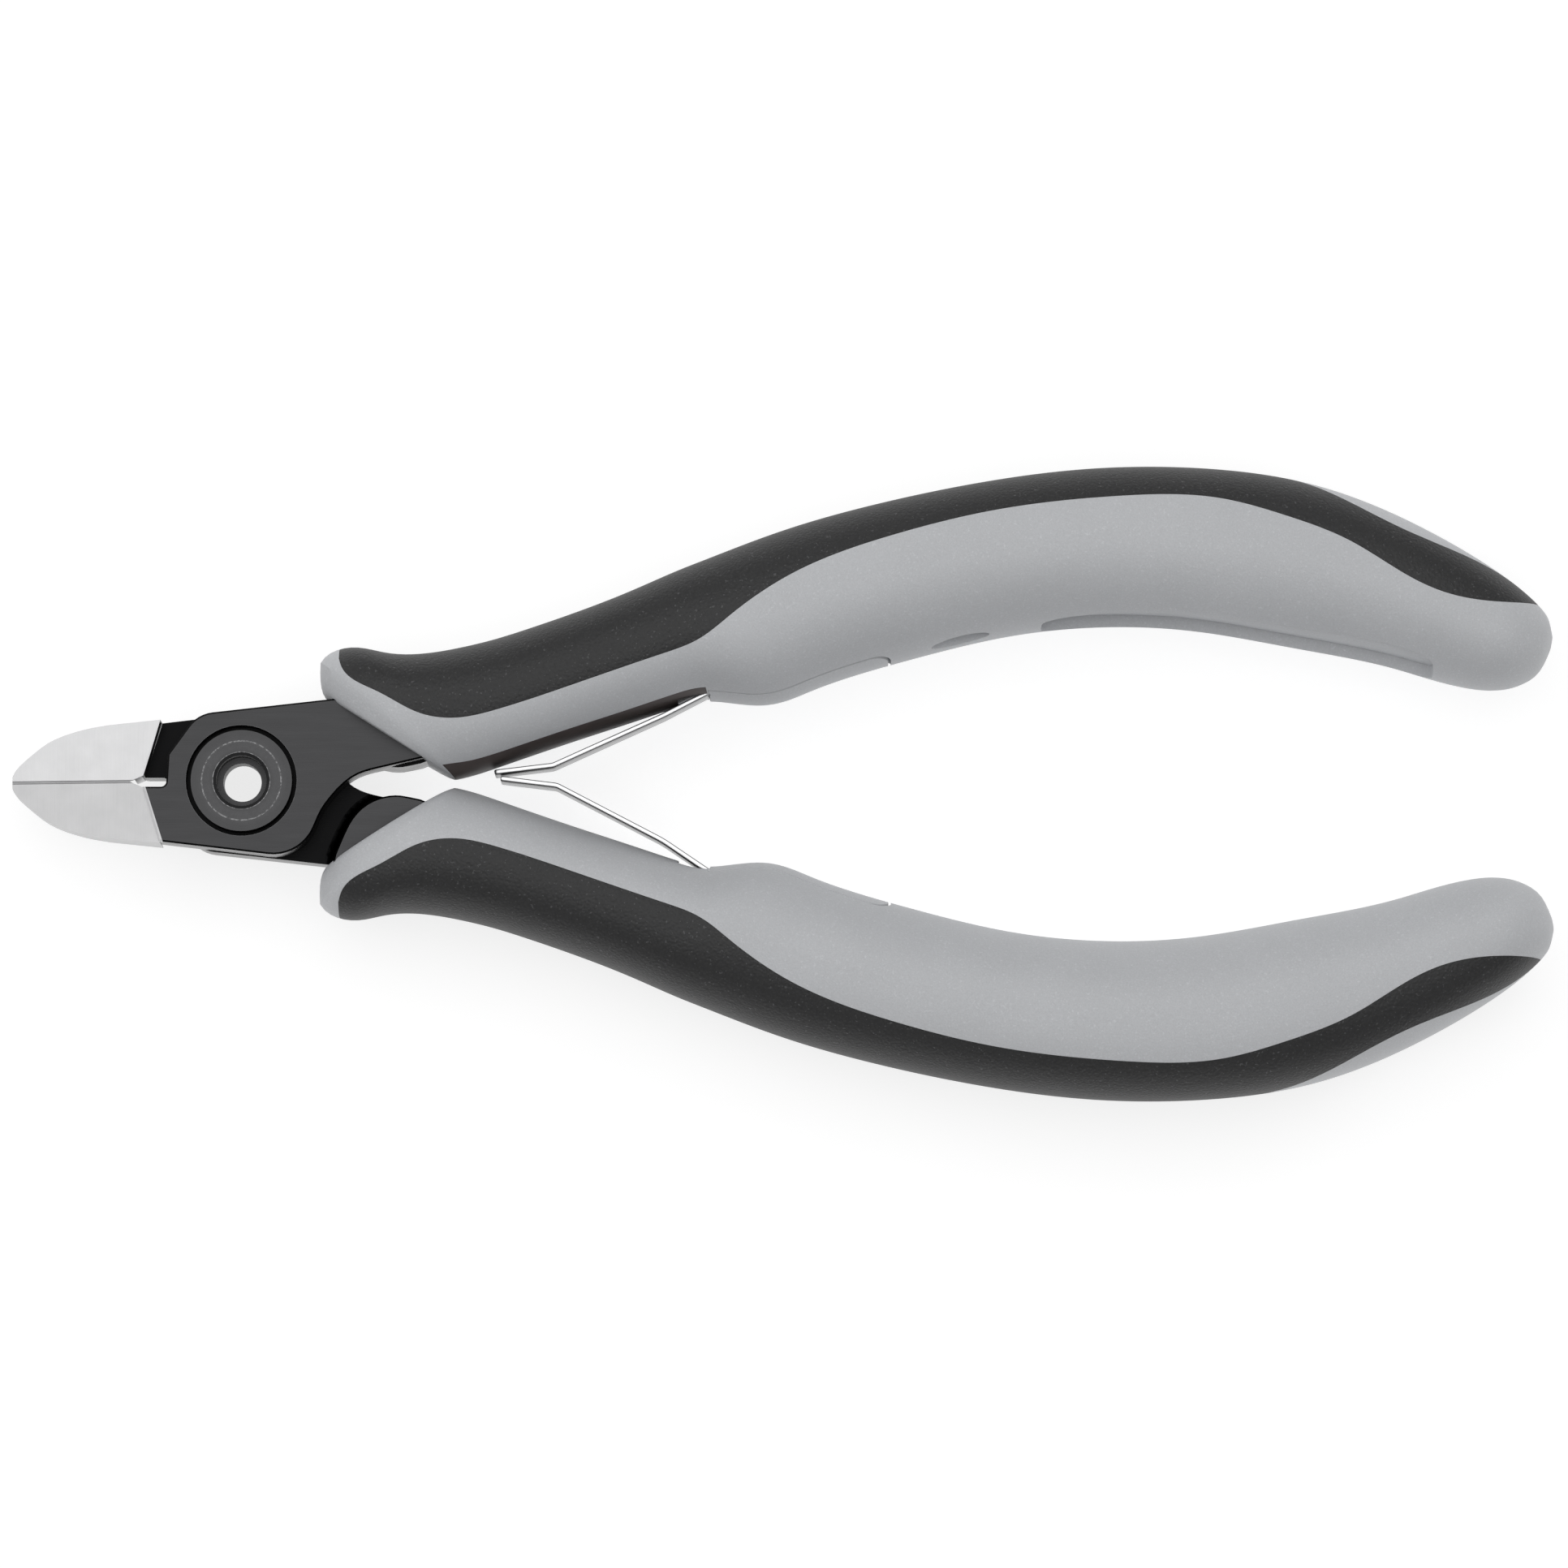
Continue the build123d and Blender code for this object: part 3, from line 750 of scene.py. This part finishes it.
def recess(start, end, low, high_start, high_end, depth, fullness):
    """A cutter for a round-ended recess whose floor follows the inner face."""
    share = -np.cos(np.linspace(0, pi, 49))
    x = (start + end) / 2 + (end - start) / 2 * share
    swell = (1 - np.abs(share) ** fullness) ** (1 / fullness)
    high = high_start + (high_end - high_start) * (share + 1) / 2
    middle = (low + high) / 2
    outline = [*zip(x, middle + swell * (high - middle)),
               *reversed([*zip(x, middle + swell * (low - middle))][1:-1])]
    cutter = raised("recess", outline, 2 * MM, 22 * MM, axis="Y")
    cutter = combine(cutter, band("recess_band", 9.5, 18.5, -3 * MM, 4 * MM, 7 * MM), "INTERSECT")
    return combine(cutter, grip_body("recess_floor", 8, 20, (depth, depth, depth), rows=90),
                   "DIFFERENCE")


def retainer_region(name, wider=0.0):
    """Round-ended tab along the inner face that holds the root of the leaf.

    A wider one is for the gap round it in the shell, and starts earlier too.
    """
    start, end, half = TAB_ENDS[0], TAB_ENDS[1] + wider, TAB_HALF_WIDTH + wider
    tip = []
    for centre, low, high in ((-1, -pi / 2, 0), (1, 0, pi / 2)):
        for a in np.linspace(low, high, 10):
            tip.append((end - TAB_ROUND + TAB_ROUND * cos(a),
                        centre * (half - TAB_ROUND) + TAB_ROUND * sin(a)))
    outline = [(start, -half), *tip, (start, half)]
    made = raised(name, outline, 0, 20 * MM, axis="Y")
    first, last = TAB_STATIONS
    depths = band(name + "_band", first - wider * 60, last, -OUT, TAB_DEPTH + wider, 6 * MM)
    return combine(made, depths, "INTERSECT")


def strip_region(name, wider=0.0):
    """Dark strip from the front corner to the springs' mouth, to one side of the middle."""
    first, last = STRIP_STATIONS
    made = band(name, first - wider * 100, last, -OUT, STRIP_DEPTH, SLOT_HALF_WIDTH + wider)
    made.data.transform(Matrix.Translation((0, 0, STRIP_ASIDE)))
    return made


def spring_line(lean=0.0):
    """Corners of a leaf's middle line, as on the upper grip: root, bow, kink and tip."""
    return [Vector((*place, 0)) * MM + Vector((*share, 0)) * lean for place, share in LEAF_CORNERS]


def spring_mouth(name):
    """Opening that the root of the leaf goes into."""
    root, bow, _, _ = spring_line()
    along = (root - bow).normalized()
    across = Vector((-along.y, along.x, 0))
    corners = [root + along * deep * MM + across * aside * MM for deep, aside in MOUTH_CORNERS]
    return raised(name, [(c.x, c.y) for c in corners], -SLOT_HALF_WIDTH, SLOT_HALF_WIDTH)


def settle(made, body, material, node):
    """Gives a finished piece its material, its body and the node it replaces."""
    for polygon in made.data.polygons:
        polygon.use_smooth = True
    made.data.set_sharp_from_angle(angle=radians(30))
    made.data.materials.clear()
    made.data.materials.append(material)
    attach(made, body)
    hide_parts(node)


def both_sides(made, part, material, node):
    """The upper piece, and its copy turned onto the lower grip."""
    clean(made)
    made.name = made.data.name = f"upper_{part}"
    lower = made.copy()
    lower.data = made.data.copy()
    lower.name = lower.data.name = f"lower_{part}"
    bpy.context.scene.collection.objects.link(lower)
    lower.data.transform(HALF_TURN)
    for side, piece in (("upper", made), ("lower", lower)):
        settle(piece, f"{side}_arm", material, f"{side}_{node}")


# ---- operators ----
class CUTTER_OT_steel(bpy.types.Operator):
    """Finish the steel halves, the pivot bolt and its ring nut"""
    bl_idname = "cutter.steel"
    bl_label = "Steel halves and pivot"

    def execute(self, context):
        finishes = {
            "front_half": steel_half("front half", -1),
            "back_half": steel_half("back half", 1),
            "pivot_bolt": turned_steel("pivot bolt", BOLT_RINGS),
            "pivot_nut": turned_steel("pivot nut", NUT_RINGS),
        }
        for name, material in finishes.items():
            node = nodes[name]
            node.data.materials.clear()
            node.data.materials.append(material)
        return {"FINISHED"}


class CUTTER_OT_cores(bpy.types.Operator):
    """Mould the hard cores with the dark strip at the inner corner"""
    bl_idname = "cutter.cores"
    bl_label = "Grip cores"

    def execute(self, context):
        sizes = context.scene.cutter_grips
        walls = (sizes.skin_inner, sizes.skin_outer, sizes.skin_side)
        core = grip_body("core", *CORE_STATIONS, walls, rows=120)
        strip = grip_body("strip", walls=(0.08 * MM, 0, 0), nose=sizes.nose_round)
        strip = combine(strip, strip_region("strip_band"), "INTERSECT")
        core = combine(core, strip, "UNION")
        core = combine(core, spring_mouth("mouth"), "DIFFERENCE")
        both_sides(core, "grip_core", hard_core("hard core"), "core")
        return {"FINISHED"}


class CUTTER_OT_retainers(bpy.types.Operator):
    """Mould the tabs that hold the leaf springs"""
    bl_idname = "cutter.retainers"
    bl_label = "Spring retainers"

    def execute(self, context):
        tab = combine(grip_body("tab"), retainer_region("tab_region"), "INTERSECT")
        tab = combine(tab, spring_mouth("mouth"), "DIFFERENCE")
        both_sides(tab, "leaf_tab", grey_shell("grey retainer"), "spring_retainer")
        return {"FINISHED"}


class CUTTER_OT_pads(bpy.types.Operator):
    """Mould the soft pads over the backs of the grips"""
    bl_idname = "cutter.pads"
    bl_label = "Soft pads"

    def execute(self, context):
        sizes = context.scene.cutter_grips
        region = combine(pad_region("pad_region"), inner_skin("skin"), "DIFFERENCE")
        pad = combine(grip_body("pad", nose=sizes.nose_round), region, "INTERSECT")
        both_sides(pad, "grip_pad", soft_pad("soft pad"), "pad")
        return {"FINISHED"}


class CUTTER_OT_shells(bpy.types.Operator):
    """Mould the grey shells, with their seams and recesses"""
    bl_idname = "cutter.shells"
    bl_label = "Grey shells"

    def execute(self, context):
        sizes = context.scene.cutter_grips
        walls = (sizes.skin_inner, sizes.skin_outer, sizes.skin_side)
        shell = grip_body("shell", nose=sizes.nose_round)
        region = combine(pad_region("shell_region", sizes.seam), inner_skin("shell_skin"),
                         "DIFFERENCE")
        shell = combine(shell, region, "DIFFERENCE")
        shell = combine(shell, strip_region("strip_band", 0.04 * MM), "DIFFERENCE")
        shell = combine(shell, retainer_region("tab_region", sizes.tab_gap), "DIFFERENCE")
        shell = combine(shell, spring_mouth("mouth"), "DIFFERENCE")
        for *place, fullness in RECESSES:
            shape = [v * MM for v in place]
            shell = combine(shell, recess(*shape, fullness), "DIFFERENCE")
        hollow = grip_body("hollow", *CORE_STATIONS, walls, rows=120)
        shell = combine(shell, hollow, "DIFFERENCE")
        both_sides(shell, "grip_shell", grey_shell("grey shell"), "shell")
        return {"FINISHED"}


class CUTTER_OT_springs(bpy.types.Operator):
    """Bend the two leaf springs"""
    bl_idname = "cutter.springs"
    bl_label = "Leaf springs"

    def execute(self, context):
        sizes = context.scene.cutter_springs
        steel = spring_steel("spring steel")

        def leaf(bm, lean):
            line = spring_line(lean)
            tip = line[-1]
            corners = [bm.verts.new(p - Vector((0, 0, sizes.width / 2))) for p in line]
            edges = [bm.edges.new(pair) for pair in zip(corners, corners[1:])]
            ribbon = bmesh.ops.extrude_edge_only(bm, edges=edges)["geom"]
            top = [g for g in ribbon if isinstance(g, bmesh.types.BMVert)]
            bmesh.ops.translate(bm, verts=top, vec=(0, 0, sizes.width))
            upright = [e for e in bm.edges if not e.is_boundary]
            for edge, radius in zip(sorted(upright, key=lambda e: -e.verts[0].co.x),
                                    (sizes.bow_radius, sizes.kink_radius)):
                turn = edge.calc_face_angle()
                bmesh.ops.bevel(bm, geom=[edge], offset=radius * tan(turn / 2),
                                offset_type="OFFSET", affect="EDGES", segments=8,
                                profile=0.5, material=-1, clamp_overlap=True)
            long_edges = [e for e in bm.edges if abs(e.verts[0].co.z - e.verts[1].co.z) < 1e-9
                          and e.calc_length() > 2 * MM]
            bmesh.ops.subdivide_edges(bm, edges=long_edges, cuts=8, use_grid_fill=True)
            bmesh.ops.recalc_face_normals(bm, faces=bm.faces[:])
            bmesh.ops.solidify(bm, geom=bm.faces[:], thickness=sizes.thickness)
            ends = [v.co for v in bm.verts if v.co.x < tip.x + 0.1 * MM]
            bmesh.ops.translate(bm, verts=bm.verts[:], vec=tip - sum(ends, Vector()) / len(ends))
            bmesh.ops.recalc_face_normals(bm, faces=bm.faces[:])
            rim = [e for e in bm.edges
                   if len(e.link_faces) == 2 and e.calc_face_angle() > radians(60)]
            bmesh.ops.bevel(bm, geom=rim, offset=sizes.edge_break, offset_type="OFFSET",
                            affect="EDGES", segments=2, profile=0.5, material=-1,
                            clamp_overlap=True)

        for side, turn in (("upper", 1), ("lower", -1)):
            lean = sizes.lean * turn
            piece = as_object(f"{side}_leaf", lambda bm: leaf(bm, lean))
            if side == "lower":
                piece.data.transform(HALF_TURN)
            for polygon in piece.data.polygons:
                polygon.use_smooth = True
            piece.data.set_sharp_from_angle(angle=radians(35))
            piece.data.materials.append(steel)
            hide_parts(f"{side}_leaf_spring")
            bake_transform(piece)
        return {"FINISHED"}


class CUTTER_OT_stage(bpy.types.Operator):
    """Lay the floor, hang the lights and place the camera"""
    bl_idname = "cutter.stage"
    bl_label = "Floor, light and camera"

    def execute(self, context):
        stage = context.scene.cutter_stage
        low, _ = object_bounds()
        middle = Vector((stage.middle, 0, 0))

        def slab(bm):
            bmesh.ops.create_grid(bm, x_segments=1, y_segments=1, size=stage.floor_size)
            bmesh.ops.translate(bm, verts=bm.verts[:], vec=(0, 0, low.z))
        floor = as_object("floor", slab)
        f = Finish("pale floor")
        diffuse = f.node("ShaderNodeBsdfDiffuse", inputs={"Color": (*stage.floor, 1)})
        glow = f.node("ShaderNodeEmission",
                      inputs={"Color": (1, 1, 1, 1), "Strength": stage.floor_glow})
        both = f.node("ShaderNodeAddShader", inputs={0: diffuse, 1: glow})
        floor.data.materials.append(f.end(both))
        floor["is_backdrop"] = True

        world = context.scene.world or bpy.data.worlds.new("studio")
        context.scene.world = world
        world.use_nodes = True
        back = world.node_tree.nodes["Background"]
        back.inputs["Color"].default_value = (1, 1, 1, 1)
        back.inputs["Strength"].default_value = stage.sky

        for name, place, size, power in LIGHTS:
            lamp = bpy.data.lights.new(name, "AREA")
            lamp.shape, lamp.size, lamp.energy = "SQUARE", size, power
            light = bpy.data.objects.new(name, lamp)
            light.location = middle + Vector(place)
            light.rotation_euler = (middle - light.location).to_track_quat("-Z", "Y").to_euler()
            context.scene.collection.objects.link(light)

        camera = bpy.data.cameras.new("camera")
        camera.sensor_width = 36
        camera.lens = camera.sensor_width * stage.distance / stage.view_width
        camera.clip_start, camera.clip_end = 0.01, 10
        eye = bpy.data.objects.new("camera", camera)
        away = Vector((tan(stage.yaw), -tan(stage.pitch), 1)).normalized()
        eye.location = middle + away * stage.distance
        right = Vector((0, 1, 0)).cross(away).normalized()
        eye.rotation_euler = Matrix((right, away.cross(right), away)).transposed().to_euler()
        context.scene.collection.objects.link(eye)
        context.scene.camera = eye
        context.scene.view_settings.view_transform = "Standard"
        return {"FINISHED"}


class CUTTER_PT_panel(bpy.types.Panel):
    """Steps that build the cutter's looks"""
    bl_label = "Flush Cutter"
    bl_space_type = "VIEW_3D"
    bl_region_type = "UI"
    bl_category = "Cutter"

    def draw(self, context):
        for step in STEPS:
            self.layout.operator(step.bl_idname)
        for group in ("cutter_grips", "cutter_springs", "cutter_finishes", "cutter_stage"):
            box = self.layout.box()
            values = getattr(context.scene, group)
            for name in values.__annotations__:
                box.prop(values, name)


GROUPS = {
    "cutter_grips": CUTTER_PG_grips,
    "cutter_springs": CUTTER_PG_springs,
    "cutter_finishes": CUTTER_PG_finishes,
    "cutter_stage": CUTTER_PG_stage,
}
STEPS = (CUTTER_OT_steel, CUTTER_OT_cores, CUTTER_OT_retainers, CUTTER_OT_pads,
         CUTTER_OT_shells, CUTTER_OT_springs, CUTTER_OT_stage)
CLASSES = (*GROUPS.values(), *STEPS, CUTTER_PT_panel)


def register():
    for cls in CLASSES:
        bpy.utils.register_class(cls)
    for name, group in GROUPS.items():
        setattr(bpy.types.Scene, name, PointerProperty(type=group))


def unregister():
    for name in GROUPS:
        delattr(bpy.types.Scene, name)
    for cls in reversed(CLASSES):
        bpy.utils.unregister_class(cls)


def main():
    register()
    for step in STEPS:
        group, name = step.bl_idname.split(".")
        getattr(getattr(bpy.ops, group), name)()


if __name__ == "__main__":
    main()
